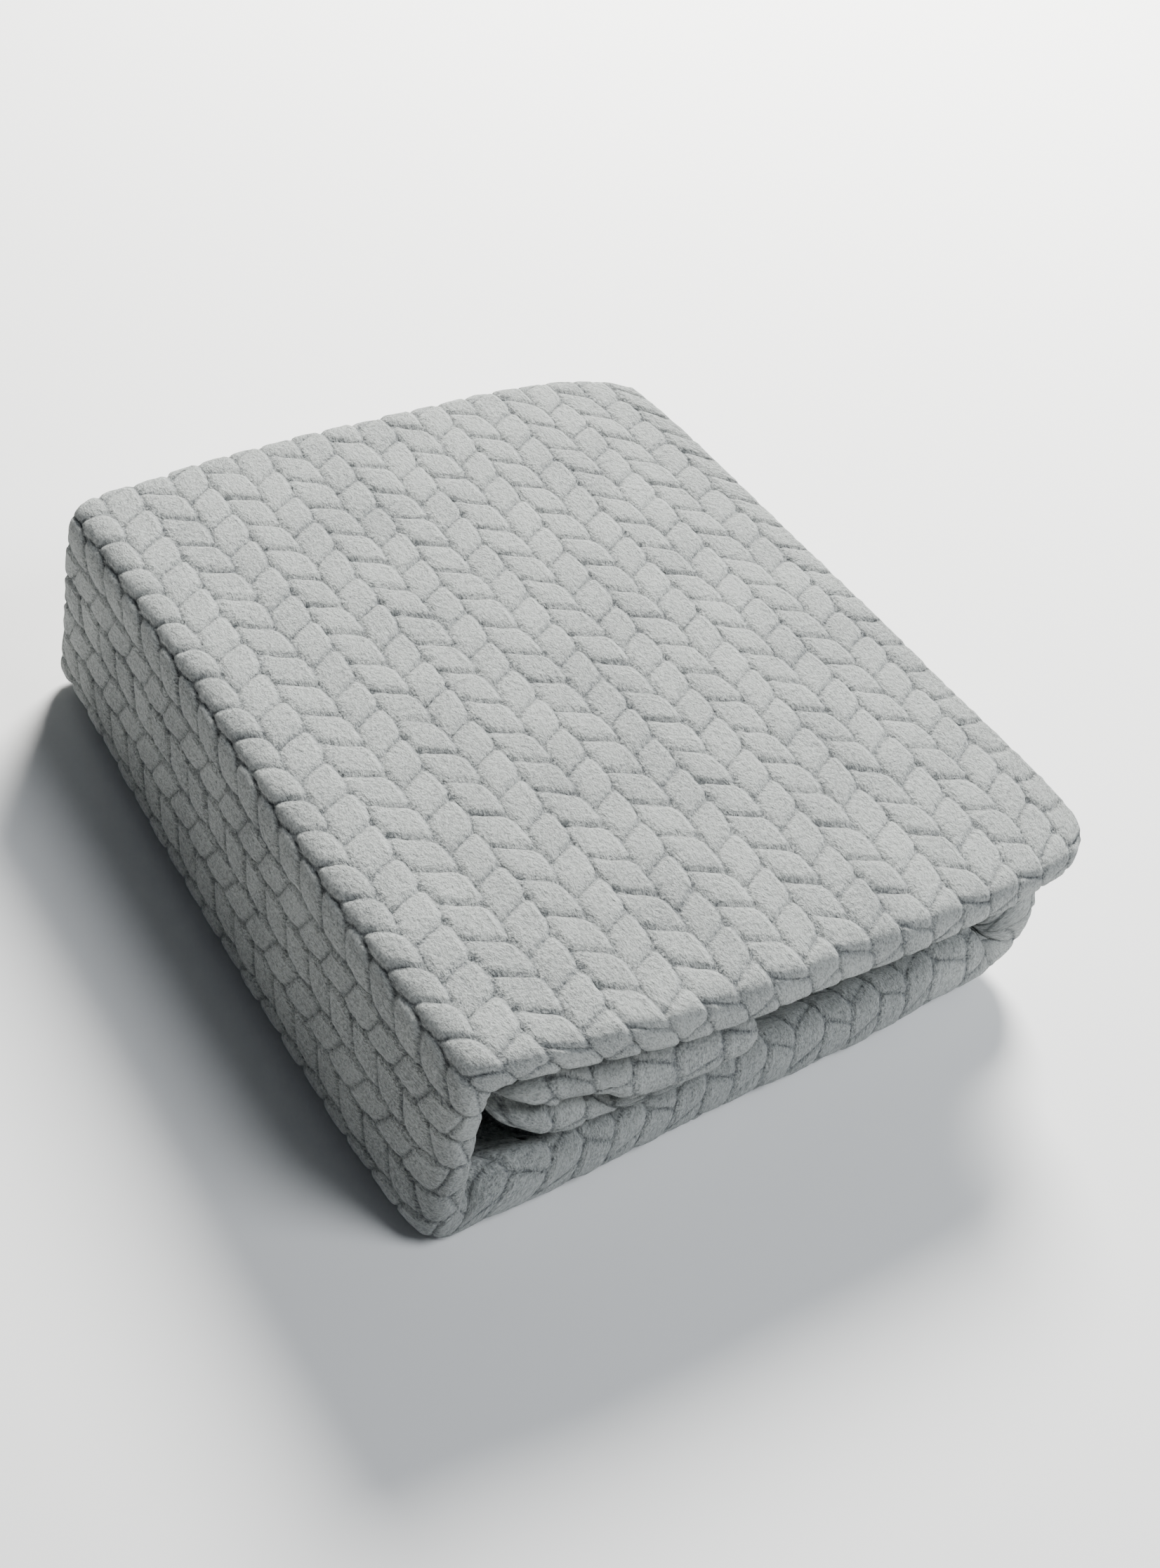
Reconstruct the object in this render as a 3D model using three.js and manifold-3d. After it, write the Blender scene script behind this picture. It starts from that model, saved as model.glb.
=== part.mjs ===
// A folded throw blanket: one fleece cloth, folded front to back into a strip of four leaves,
// and the strip then folded from side to side: cover, spine, base, right turn, return and flap.
// Millimetres, +Z up, +X to the right, +Y to the back. The origin is the middle of the underside.
import * as THREE from "three";
import { mergeVertices } from "three/addons/utils/BufferGeometryUtils.js";
import Module from "manifold-3d";

const wasm = await Module();
wasm.setup();

// The driving dimensions.
const foldedWidth = 354; // across the folded pile, spine to the cover's free end
const foldedDepth = 425; // front lip to back fold, a quarter of the cloth's long side
const leafThickness = 6.7; // one leaf of the fleece with its pile lying loose
const leafGap = 0.6; // air between two leaves of one strip
const foldRadius = 0.6; // inside radius where the strip turns back on itself
const cutGap = 0.5; // clearance where the cloth is divided into nodes
const coverGap = 0.8; // air between the cover and the flap under it
const spineGap = 1.0; // air between the spine and the folds inside it
const baseShortfall = 10; // how far the right turn stops short of the cover's free end
const flapReach = 148; // spine side to the flap's free end
const hemWidth = 18; // width of the turned and stitched hems
const arcSteps = 12; // flats in a quarter turn of a fold

// How far each length of the strip stands back from the cover's front lip and back fold, and how
// far its two hemmed front edges stand behind its own rolled front fold.
const setbacks = {
  cover: { front: 0, hems: 34, back: 0 },
  spine: { front: 6, hems: 28, back: 6 },
  base: { front: 20, hems: 30, back: 12 },
  right_turn: { front: 34, hems: 16, back: 14 },
  return: { front: 62, hems: 8, back: 12 },
  flap: { front: 14, hems: 3, back: 10 },
};

const labelLength = 26; // the care label, out of the flap's end hem
const labelWidth = 42;
const labelThickness = 0.6;
const labelFromBack = 90;

// Sizes that follow from them.
const leafPitch = leafThickness + leafGap;
const stripThickness = 4 * leafThickness + 3 * leafGap;
const turnRadius = stripThickness + foldRadius;
const returnTop = 2 * turnRadius;
const flapTurnZ = returnTop + foldRadius + cutGap;
const flapTurnX = turnRadius + spineGap + turnRadius;
const flapTop = flapTurnZ + turnRadius;
const coverTop = flapTop + coverGap + stripThickness;
const rightTurnX = foldedWidth - baseShortfall - turnRadius;
const flapHemX = flapReach - hemWidth;
const coverHemX = foldedWidth - hemWidth;

const fleece = { color: 0xb4b9bb, roughness: 0.95, metalness: 0 };
const hemFleece = { color: 0xa6acb0, roughness: 0.95, metalness: 0 };
const satin = { color: 0xe8e6e0, roughness: 0.5, metalness: 0 };

// Points of an arc in the X-Z plane, angles in degrees.
function arc(x, z, radius, from, to) {
  const steps = Math.ceil((Math.abs(to - from) / 90) * arcSteps);
  const points = [];
  for (let i = 0; i <= steps; i += 1) {
    const angle = THREE.MathUtils.degToRad(from + ((to - from) * i) / steps);
    points.push([x + radius * Math.cos(angle), z + radius * Math.sin(angle)]);
  }
  return points;
}

// Each length of the strip, as the line that lies a given depth under the strip's outer face.
const lengths = {
  cover: (depth) => [
    [turnRadius + cutGap, coverTop - depth],
    [coverHemX - cutGap, coverTop - depth],
  ],
  cover_hem: (depth) => [
    [coverHemX, coverTop - depth],
    [foldedWidth, coverTop - depth],
  ],
  spine: (depth) => [
    ...arc(turnRadius, coverTop - turnRadius, turnRadius - depth, 90, 180),
    ...arc(turnRadius, turnRadius, turnRadius - depth, 180, 270),
  ],
  base: (depth) => [
    [turnRadius + cutGap, depth],
    [rightTurnX - cutGap, depth],
  ],
  right_turn: (depth) => arc(rightTurnX, turnRadius, turnRadius - depth, -90, 90),
  return: (depth) => [
    [rightTurnX - cutGap, returnTop - depth],
    ...arc(flapTurnX, returnTop + foldRadius, foldRadius + depth, -90, -180),
  ],
  flap: (depth) => [
    ...arc(flapTurnX, flapTurnZ, foldRadius + depth, 180, 90),
    [flapHemX - cutGap, flapTurnZ + foldRadius + depth],
  ],
  flap_hem: (depth) => [
    [flapHemX, flapTurnZ + foldRadius + depth],
    [flapReach, flapTurnZ + foldRadius + depth],
  ],
};

// Where the front, the hemmed edges and the back of each length lie, in Y from the cover's lip.
function reachOf(name) {
  const { front, hems, back } = setbacks[name.replace("_hem", "")];
  return { front, hemmedFront: front + hems, back: foldedDepth - back };
}

// A band of the strip between two depths, from front to back, as a prism. Its own Z is -Y.
// Its ends are set by assignment, so that bands that share an end share it exactly.
function band(line, outerDepth, innerDepth, front, back) {
  const outline = [...line(outerDepth), ...line(innerDepth).reverse()];
  const shape = new THREE.Shape(outline.map(([x, z]) => new THREE.Vector2(x, z)));
  const prism = new THREE.ExtrudeGeometry(shape, { depth: back - front, bevelEnabled: false });
  const position = prism.getAttribute("position");
  for (let i = 0; i < position.count; i += 1) {
    position.setZ(i, position.getZ(i) > 0 ? -front : -back);
  }
  return prism;
}

function toSolid(geometry) {
  const bare = new THREE.BufferGeometry();
  bare.setAttribute("position", geometry.getAttribute("position"));
  const merged = mergeVertices(bare, 1e-4);
  const mesh = new wasm.Mesh({
    numProp: 3,
    vertProperties: merged.attributes.position.array,
    triVerts: new Uint32Array(merged.index.array),
  });
  return new wasm.Manifold(mesh);
}

function join(geometries) {
  const solid = geometries.map(toSolid).reduce((whole, next) => whole.add(next));
  const { vertProperties, triVerts } = solid.getMesh();
  const geometry = new THREE.BufferGeometry();
  geometry.setAttribute("position", new THREE.BufferAttribute(vertProperties, 3));
  geometry.setIndex(new THREE.BufferAttribute(triVerts, 1));
  const faceted = geometry.toNonIndexed();
  faceted.computeVertexNormals();
  return faceted;
}

function named(name, geometry, look) {
  const mesh = new THREE.Mesh(geometry, new THREE.MeshStandardMaterial(look));
  mesh.name = name;
  return mesh;
}

// A mesh made in the strip's own axes, turned so that the strip's depth runs along Y.
function stripMesh(name, geometries, look) {
  const mesh = named(name, join(geometries), look);
  mesh.rotation.x = Math.PI / 2;
  return mesh;
}

const outerFaceOf = (leaf) => (leaf - 1) * leafPitch;
const innerFaceOf = (leaf) => outerFaceOf(leaf) + leafThickness;

function leafBand(line, leaf, front, back) {
  return band(line, outerFaceOf(leaf), innerFaceOf(leaf), front, back);
}

// Leaves 1 and 2 with the rolled fold that joins them at the front.
function frontFold(name, line, { front, back }, look) {
  const outerEnd = back - leafThickness - cutGap;
  const innerEnd = back - leafPitch - leafThickness - cutGap;
  const roll = band(line, outerFaceOf(1), innerFaceOf(2), front, front + leafThickness);
  const bands = [leafBand(line, 1, front, outerEnd), leafBand(line, 2, front, innerEnd), roll];
  return stripMesh(name + "_front_fold", bands, look);
}

// Leaf 3 with the inner back fold that brings it round to leaf 2.
function innerLeaf(name, line, start, { back }, look) {
  const end = back - leafPitch;
  const turn = band(line, outerFaceOf(2), innerFaceOf(3), end - leafThickness, end);
  return stripMesh(name + "_inner_leaf", [leafBand(line, 3, start, end), turn], look);
}

// Leaf 4 with the outer back fold that brings it round to leaf 1.
function outerLeaf(name, line, start, { back }, look) {
  const turn = band(line, outerFaceOf(1), innerFaceOf(4), back - leafThickness, back);
  return stripMesh(name + "_outer_leaf", [leafBand(line, 4, start, back), turn], look);
}

// The long hem along the front edge of leaf 3 or leaf 4.
function longHem(name, line, leaf, { hemmedFront }) {
  const kind = leaf === 3 ? "_inner_hem" : "_outer_hem";
  const bands = [leafBand(line, leaf, hemmedFront, hemmedFront + hemWidth)];
  return stripMesh(name + kind, bands, hemFleece);
}

// One length of the strip: its cloth nodes, and its long hems where they are nodes of their own.
function stripLength(name, look, hasLongHems) {
  const line = lengths[name];
  const reach = reachOf(name);
  const leafStart = reach.hemmedFront + (hasLongHems ? hemWidth + cutGap : 0);
  const group = new THREE.Group();
  group.add(frontFold(name, line, reach, look));
  group.add(innerLeaf(name, line, leafStart, reach, look));
  group.add(outerLeaf(name, line, leafStart, reach, look));
  if (hasLongHems) {
    group.add(longHem(name, line, 3, reach));
    group.add(longHem(name, line, 4, reach));
  }
  return group;
}

function careLabel() {
  const geometry = new THREE.BoxGeometry(labelLength, labelWidth, labelThickness);
  const mesh = named("care_label", geometry, satin);
  const x = flapReach + cutGap + labelLength / 2;
  const y = foldedDepth - labelFromBack;
  mesh.position.set(x, y, flapTurnZ + foldRadius + stripThickness / 2);
  return mesh;
}

const blanket = new THREE.Group();
const pile = new THREE.Group();
for (const name of ["cover", "spine", "base", "right_turn", "return", "flap"]) {
  pile.add(stripLength(name, fleece, true));
}
for (const name of ["cover_hem", "flap_hem"]) {
  pile.add(stripLength(name, hemFleece, false));
}
pile.add(careLabel());
pile.position.set(-foldedWidth / 2, -foldedDepth / 2, 0);
blanket.add(pile);

export default blanket;
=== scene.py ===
import math
import bmesh
import bpy
import numpy as np
from mathutils import Matrix, Vector


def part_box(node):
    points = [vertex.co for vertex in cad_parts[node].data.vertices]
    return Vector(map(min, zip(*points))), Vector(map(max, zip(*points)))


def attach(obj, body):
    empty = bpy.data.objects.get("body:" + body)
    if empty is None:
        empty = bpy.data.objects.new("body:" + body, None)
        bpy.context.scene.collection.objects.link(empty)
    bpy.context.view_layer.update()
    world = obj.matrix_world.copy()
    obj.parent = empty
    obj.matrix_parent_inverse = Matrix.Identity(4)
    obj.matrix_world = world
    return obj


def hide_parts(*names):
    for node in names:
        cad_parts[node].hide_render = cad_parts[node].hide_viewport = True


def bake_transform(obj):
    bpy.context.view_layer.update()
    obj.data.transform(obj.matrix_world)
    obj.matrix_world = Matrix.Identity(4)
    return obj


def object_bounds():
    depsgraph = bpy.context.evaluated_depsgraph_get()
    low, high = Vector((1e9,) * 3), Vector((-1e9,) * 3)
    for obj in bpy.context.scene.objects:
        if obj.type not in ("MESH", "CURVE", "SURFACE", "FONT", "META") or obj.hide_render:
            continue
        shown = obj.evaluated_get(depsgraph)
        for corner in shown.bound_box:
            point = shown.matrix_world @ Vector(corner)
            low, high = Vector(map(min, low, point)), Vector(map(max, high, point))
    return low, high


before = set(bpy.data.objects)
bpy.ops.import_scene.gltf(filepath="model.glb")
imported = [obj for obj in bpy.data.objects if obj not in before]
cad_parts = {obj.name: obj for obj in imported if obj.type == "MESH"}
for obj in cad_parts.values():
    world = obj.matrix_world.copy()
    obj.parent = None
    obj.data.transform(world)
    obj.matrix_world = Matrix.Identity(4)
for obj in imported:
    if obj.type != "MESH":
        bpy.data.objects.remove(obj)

cadLow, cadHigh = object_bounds()
mm = 0.001

# The braid pressed into the fleece. Columns run front to back on top, and lean left and right in turn.
braid = {
    "column": 18.8 * mm,
    "pitch": 22.4 * mm,
    "lean": 0.42,  # rise of a groove over one column, as a share of the pitch
    "bulge": 1.7 * mm,  # how far a block swells over its right-hand neighbour
    "corner": 3.6 * mm,  # rounding of the blocks in plan
    "edge": 4.0 * mm,  # width of the slope from a block's face into a groove
    "relief": 3.0 * mm,
    "grooveWidth": 1.25 * mm,
    "ridge": 0.3 * mm,
    "wobble": 0.8 * mm,
    "slant": 0.894,  # narrowing of a block square to its leaning grooves
    "pressedRelief": 0.35,  # share of the relief left where leaves lie pressed together
}

# The cloth and the way that it is folded.
folding = {
    "leaf": 6.7 * mm,
    "leafGap": 0.6 * mm,
    "crestRadius": 15 * mm,  # outside of the spine's two bends
    "innerRadius": 2.5 * mm,
    "foldRadius": 0.6 * mm,
    "backRoll": 13 * mm,
    "frontRoll": 14 * mm,
    "tuck": 30 * mm,
    "hemReturn": 18 * mm,
    "fullness": 0.82,  # 1 for a round roll, less for a fuller one
    "slackFullness": 1.1,
    "pinch": 16 * mm,  # how far the inner turn's cloth draws back from the front
    "deepHems": 50 * mm,  # how much deeper the hems lie beside the spine
    "sag": 1.2 * mm,
    "droop": 1.5 * mm,
    "waver": 1.6 * mm,  # unevenness of the front edges
    "puff": 5 * mm,
    "curl": 0.36,  # rise of the right end, as a share of its height
    "rightReach": 17 * mm,
    "flapReach": 17 * mm,
    "leftReach": 6 * mm,
    "flapSag": 0.8 * mm,
    "flapRoom": 4.5 * mm,  # lets the flap lie flat when it is opened
    "endLap": 28 * mm,  # cloth taken up by a turned end hem
    "tuft": 0.8 * mm,
}

leaf = folding["leaf"]
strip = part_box("cover_outer_leaf")[1].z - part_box("cover_outer_leaf")[0].z
originX, originY = cadLow.x, cadLow.y
pileWidth = cadHigh.x - cadLow.x
pileDepth = cadHigh.y - cadLow.y
pileHeight = cadHigh.z
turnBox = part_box("right_turn_front_fold")
turnRadius = turnBox[1].z / 2
turnX = turnBox[1].x - originX - turnRadius
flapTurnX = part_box("flap_outer_leaf")[0].x - originX + turnRadius
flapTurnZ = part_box("flap_outer_leaf")[1].z - turnRadius
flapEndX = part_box("flap_hem_front_fold")[1].x - originX
print("frame read: pile", [round(v, 3) for v in (pileWidth, pileDepth, pileHeight)])


# The strip, followed from the middle of the spine: up and over to the cover, or down and under

def smooth(low, high, x):
    t = np.clip((x - low) / (high - low), 0, 1)
    return t * t * (3 - 2 * t)


def linePath(xz0, xz1):
    return lambda u: (xz0[0] + (xz1[0] - xz0[0]) * u, xz0[1] + (xz1[1] - xz0[1]) * u)


def arcPath(x, z, radius, start, end):
    def at(u):
        angle = np.radians(start + (end - start) * u)
        return x + radius * np.cos(angle), z + radius * np.sin(angle)
    return at


crest, bend, thin = folding["crestRadius"], folding["innerRadius"], folding["foldRadius"]
spineHalf = pileHeight / 2 - crest
crestLength = crest * math.pi / 2
middle = pileHeight / 2
inner = strip + bend

# Each stretch: its name, its length, its outer face and its inner face.
upperStretches = [
    ("spine", spineHalf, linePath((0, middle), (0, pileHeight - crest)),
     linePath((strip, middle), (strip, pileHeight - inner))),
    ("shoulder", crestLength, arcPath(crest, pileHeight - crest, crest, 180, 90),
     arcPath(inner, pileHeight - inner, bend, 180, 90)),
    ("cover", pileWidth - crest, linePath((crest, pileHeight), (pileWidth, pileHeight)),
     linePath((inner, pileHeight - strip), (pileWidth, pileHeight - strip))),
]
lowerStretches = [
    ("spine", spineHalf, linePath((0, middle), (0, crest)), linePath((strip, middle), (strip, inner))),
    ("heel", crestLength, arcPath(crest, crest, crest, 180, 270), arcPath(inner, inner, bend, 180, 270)),
    ("base", turnX - crest, linePath((crest, 0), (turnX, 0)), linePath((inner, strip), (turnX, strip))),
    ("turn", turnRadius * math.pi, arcPath(turnX, turnRadius, turnRadius, -90, 90),
     arcPath(turnX, turnRadius, thin, -90, 90)),
    ("return", turnX - flapTurnX, linePath((turnX, 2 * turnRadius), (flapTurnX, 2 * turnRadius)),
     linePath((turnX, 2 * turnRadius - strip), (flapTurnX, 2 * turnRadius - strip))),
    ("innerTurn", 47 * mm, arcPath(flapTurnX, flapTurnZ, thin, -90, -270),
     arcPath(flapTurnX, flapTurnZ, turnRadius, -90, -270)),
    ("flap", flapEndX - flapTurnX, linePath((flapTurnX, flapTurnZ + thin), (flapEndX, flapTurnZ + thin)),
     linePath((flapTurnX, flapTurnZ + turnRadius), (flapEndX, flapTurnZ + turnRadius))),
]


def stretchStart(stretches, name):
    total = 0.0
    for stretch in stretches:
        if stretch[0] == name:
            return total
        total += stretch[1]
    return total


# outer and inner face at each distance along the strip
def stripPath(along, stretches):
    shape = along.shape
    outer, within = np.zeros((2,) + shape), np.zeros((2,) + shape)
    start = 0.0
    for _, length, outerPath, innerPath in stretches:
        here = along >= start - 1e-9
        u = np.clip((along - start) / length, 0, 1)
        for target, path in ((outer, outerPath), (within, innerPath)):
            x, z = path(u)
            target[0] = np.where(here, x, target[0])
            target[1] = np.where(here, z, target[1])
        start += length
    return outer, within


# The strip's own section, front to back: leaf 4, back fold, leaf 1, front roll, leaf 2, leaf 3

backFold = math.pi * math.sqrt((folding["backRoll"] ** 2 + (strip / 2) ** 2) / 2)
frontFold = math.pi * math.sqrt((folding["frontRoll"] ** 2 + (strip / 2) ** 2) / 2)
hemRadius = leaf / 2
secondFace = 2 * leaf + folding["leafGap"]
thirdFace = 2 * (leaf + folding["leafGap"])
usualHems = 34 * mm
runs = {
    "leaf4": pileDepth - folding["backRoll"] - usualHems - hemRadius,
    "leaf1": pileDepth - folding["backRoll"] - folding["frontRoll"],
    "leaf2": pileDepth - folding["backRoll"] - folding["frontRoll"] - folding["tuck"] - 7 * mm,
    "leaf3": pileDepth - folding["backRoll"] - 7 * mm - usualHems - hemRadius,
}


# (name, start, end, (y, depth) along it), with y from the front and depth from the outer face
def sectionStretches(fit):
    front, back, hems, roll = fit["front"], fit["back"], fit["hems"], fit["roll"]
    nose, heel = folding["frontRoll"], folding["backRoll"]
    backTop = back - heel
    innerBack = backTop - 7 * mm
    hemY = hems + hemRadius

    def between(a, b):
        return lambda u: (a[0] + (b[0] - a[0]) * u, a[1] + (b[1] - a[1]) * u)

    def halfTurn(y, depth, reach, half, side):
        # from the face at depth - half round to the one at depth + half, bulging to side
        def at(u):
            sine, cosine = np.sin(math.pi * u), np.cos(math.pi * u)
            full = fit["fullness"]
            drop = half * np.sign(cosine) * np.abs(cosine) ** full
            return y + side * reach * np.abs(sine) ** full, depth - drop
        return at

    def backwards(path):
        return lambda u: path(1 - u)

    def tuckPath(u):
        t = u * u * (3 - 2 * u)
        return front + nose + folding["tuck"] * u, roll + (secondFace - roll) * t

    hemEnd = hemY + folding["hemReturn"]
    tuckEnd = front + nose + folding["tuck"]
    foldDepth = (secondFace + thirdFace) / 2
    order = [
        ("hemReturn4", folding["hemReturn"], between((hemEnd, strip - leaf), (hemY, strip - leaf))),
        ("hem4", math.pi * hemRadius, halfTurn(hemY, strip - hemRadius, hemRadius, hemRadius, -1)),
        ("leaf4", runs["leaf4"], between((hemY, strip), (backTop, strip))),
        ("backFold", backFold, backwards(halfTurn(backTop, strip / 2, heel, strip / 2, 1))),
        ("leaf1", runs["leaf1"], between((backTop, 0), (front + nose, 0))),
        ("frontRoll", frontFold, halfTurn(front + nose, roll / 2, nose, roll / 2, -1)),
        ("tuck", folding["tuck"], tuckPath),
        ("leaf2", runs["leaf2"], between((tuckEnd, secondFace), (innerBack, secondFace))),
        ("innerFold", 6 * mm, halfTurn(innerBack, foldDepth, 3 * mm, 0.3 * mm, 1)),
        ("leaf3", runs["leaf3"], between((innerBack, thirdFace), (hemY, thirdFace))),
        ("hem3", math.pi * hemRadius, halfTurn(hemY, thirdFace + hemRadius, hemRadius, hemRadius, -1)),
        ("hemReturn3", folding["hemReturn"],
         between((hemY, thirdFace + leaf), (hemEnd, thirdFace + leaf))),
    ]
    before = folding["hemReturn"] + math.pi * hemRadius + runs["leaf4"] + backFold
    start, table = -before, []
    for name, length, path in order:
        table.append((name, start, start + length, path))
        start += length
    return table


# y and depth at each distance across the cloth, which is 0 where leaf 1 leaves the back fold
def sectionPoint(across, fit):
    y, depth = np.zeros(across.shape), np.zeros(across.shape)
    for name, start, end, path in sectionStretches(fit):
        here = across >= start - 1e-9
        u = np.clip((across - start) / (end - start), 0, 1)
        newY, newDepth = path(u)
        y = np.where(here, newY, y)
        depth = np.where(here, newDepth, depth)
    return y, depth


plainFit = {"front": 0.0, "back": pileDepth, "hems": usualHems, "roll": strip,
            "fullness": folding["fullness"]}
marks = {name: (start, end) for name, start, end, _ in sectionStretches(plainFit)}


# How the pile's outline wanders: front and back edges, roll and hems at each place on the strip

# how far a rounded corner in plan cuts back an edge
def bezelOf(x, end, radius):
    t = np.clip((x - (end - radius)) / radius, 0, 1)
    return radius * (1 - np.sqrt(np.clip(1 - t * t, 0, 1)))


# a length that runs through pairs of place and length, in millimetres
def through(pairs, x):
    places, lengths = zip(*pairs)
    return np.interp(x, np.array(places) * mm, np.array(lengths) * mm)


upperEdges = {
    "roll": [(0, 20), (30, 22), (60, 25), (80, 27), (150, 30),
             (200, 30), (260, 27), (310, 22), (345, 20)],
    "front": [(0, 6), (30, 5), (60, 3), (100, 0), (150, -1), (230, -1), (300, 4), (345, 11)],
    "back": [(0, 419), (38, 426), (80, 433), (132, 436), (196, 437),
             (256, 439), (302, 438), (332, 433), (354, 428)],
    "right": [(0, 348), (18, 352), (35, 356), (60, 357), (136, 355),
              (180, 355), (236, 353), (368, 347), (428, 341)],
}
lowerEdges = {
    "base": [(0, 6), (110, 11), (208, 18), (248, 20), (320, 27), (364, 31)],
    "return": [(30, 15), (70, 13), (92, 16), (150, 16), (172, 34), (200, 58), (344, 62)],
    "split": [(20, 70), (33, 66), (48, 62), (55, 59.5), (66, 59.5), (80, 57), (92, 46), (107, 43),
              (127, 46), (152, 51), (200, 59)],
    "top": [(20, 84), (60, 81), (90, 78),
            (120, 76), (157, 71), (200, 88)],
    "bottom": [(20, 46), (31, 43), (50, 37), (68, 32), (89, 34), (101, 32), (131, 30), (200, 30)],
    "flap": [(30, 14), (50, 12), (80, 9), (92, 7), (160, 7)],
}


def upperFit(along):
    x = stripPath(along, upperStretches)[0][0]
    share = x / pileWidth
    corner = bezelOf(x, pileWidth, 19 * mm)
    front = through(upperEdges["front"], x) + corner
    back = through(upperEdges["back"], x) - corner
    roll = through(upperEdges["roll"], x)
    hemGap = usualHems + folding["deepHems"] * (1 - smooth(50 * mm, 110 * mm, x))
    return {"front": front, "back": back, "hems": front + hemGap, "roll": roll,
            "fullness": folding["fullness"] + 0 * x}


def lowerFit(along):
    x = stripPath(along, lowerStretches)[0][0]
    share = x / pileWidth
    turn = stretchStart(lowerStretches, "turn")
    innerTurn = stretchStart(lowerStretches, "innerTurn")
    flap = stretchStart(lowerStretches, "flap")
    around = smooth(turn + 50 * mm, turn + 130 * mm, along)
    forward = smooth(innerTurn + 6 * mm, innerTurn + 34 * mm, along)
    front = through(lowerEdges["base"], x)
    front = front + (through(lowerEdges["return"], x) - front) * around
    front = front + (through(lowerEdges["flap"], x) - front) * forward
    front = front + bezelOf(x, flapEndX, 12 * mm) * smooth(flap, flap + 10 * mm, along)
    pinch = np.exp(-((along - innerTurn - 23 * mm) / (6 * mm)) ** 2)
    front = front + folding["pinch"] * pinch
    back = 419 * mm + 3 * mm * np.sin(3 * share)
    farIn = 1 - smooth(innerTurn - 190 * mm, innerTurn - 140 * mm, along)
    hemGap = usualHems + (8 * mm - usualHems) * around * farIn
    hemGap = hemGap + folding["deepHems"] * (1 - smooth(50 * mm, 110 * mm, x))
    roll = strip - (strip - 20 * mm) * (1 - smooth(0.0, 0.07, share)) * (along < turn)
    fullness = folding["fullness"] + (folding["slackFullness"] - folding["fullness"]) * around
    return {"front": front, "back": back, "hems": front + hemGap, "roll": roll, "fullness": fullness}


# a slow unevenness between -1 and 1
def wander(x, y, scale, phase):
    a = np.sin(x / scale + 1.3 * np.sin(y / scale * 0.7 + phase) + phase)
    b = np.sin(y / scale * 1.3 + 0.9 * np.sin(x / scale * 0.8 + 2 * phase) + 2.1 * phase)
    return 0.5 * (a + b)


# how far the spine and the heel swell outwards, more towards the bottom
def bulgeOut(x, y, z):
    swell = through([(0, 6), (30, 13), (70, 15), (150, 14), (300, 11), (430, 5)], y)
    low = 1 - 0.8 * np.clip(z / pileHeight, 0, 1)
    near = 1 - smooth(strip * 0.9, strip * 2.2, x)
    uneven = 1.3 * mm * wander(y, z, 50 * mm, 0.4) * (1 - smooth(0, strip, x))
    return swell * low * near + 1.5 * mm * near - uneven


# the cover and the upper spine as they lie
def upperSettle(x, y, z, along):
    share = np.clip(x / pileWidth, 0, 1)
    x = x + share ** 4 * (through(upperEdges["right"], y) - pileWidth)
    x = x - bulgeOut(x, y, z)
    flat = smooth(10 * mm, 60 * mm, x)
    sag = folding["sag"] * (1 + wander(x, y, 60 * mm, 1.1)) * flat
    droop = folding["droop"] * smooth(0.7, 1.0, share)
    z = z - (sag + droop) * smooth(pileHeight - 1.5 * strip, pileHeight - 0.5 * strip, z)
    y = y + folding["waver"] * wander(x, z, 30 * mm, 2.3) * (1 - smooth(0, 60 * mm, y))
    return x, y, z


# the base, the turn, the return and the flap as they lie
def lowerSettle(x, y, z, along):
    turn = stretchStart(lowerStretches, "turn")
    innerTurn = stretchStart(lowerStretches, "innerTurn")
    flap = stretchStart(lowerStretches, "flap")
    outside = (along < stretchStart(lowerStretches, "base") + 40 * mm) * 1.0
    x = x - bulgeOut(x, y, z) * outside
    nearFront = 1 - smooth(46 * mm, 64 * mm, y)
    beforeTurn = 1 - smooth(turn - 30 * mm, turn + 30 * mm, along)
    puff = nearFront * smooth(110 * mm, 200 * mm, x) * beforeTurn
    z = z + folding["puff"] * puff * np.clip(z / strip, 0, 1.2)
    curl = smooth(pileWidth * 0.74, pileWidth * 0.97, x) * (along < innerTurn)
    z = z * (1 + folding["curl"] * curl)
    atFront = 1 - 0.6 * smooth(60 * mm, 260 * mm, y)
    x = x + folding["rightReach"] * smooth(285 * mm, 344 * mm, x) * atFront
    y = y + folding["waver"] * wander(x, z, 30 * mm, 2.3) * (1 - smooth(0, 60 * mm, y))
    # the return and the flap sag towards the front, the flap over the return
    folded = (along > turn + 91.5 * mm) * (1 - smooth(24 * mm, 75 * mm, y))
    split, over = through(lowerEdges["split"], x), through(lowerEdges["top"], x)
    floor = 2 * turnRadius - strip
    under = through(lowerEdges["bottom"], x)
    lowPart = (z - floor) / (flapTurnZ - floor)
    highPart = (z - flapTurnZ) / turnRadius
    sagged = np.where(z < flapTurnZ, under + lowPart * (split - under),
                      split + highPart * (over - split))
    z = z + folded * np.clip(pileWidth * 0.74 - x, 0, 10 * mm) / (10 * mm) * (sagged - z)
    x = x - folding["leftReach"] * folded * (1 - smooth(25 * mm, 50 * mm, x))
    onFlap = smooth(innerTurn + 18 * mm, flap - 2 * mm, along)
    z = z - folding["flapRoom"] * onFlap * np.clip(highPart, 0, 1) * (1 - folded)
    x = x + folding["flapReach"] * onFlap * smooth(85 * mm, 148 * mm, x)
    beyondTurn = smooth(flap + 2 * mm, flap + 20 * mm, along)
    z = z - beyondTurn * folding["flapSag"] * (1 + wander(x, y, 20 * mm, 0.2))
    return x, y, z


# The relief of the braid

patternStart = (60.25 * braid["column"], 30 * braid["pitch"])  # keeps cloth coordinates above nought


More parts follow.
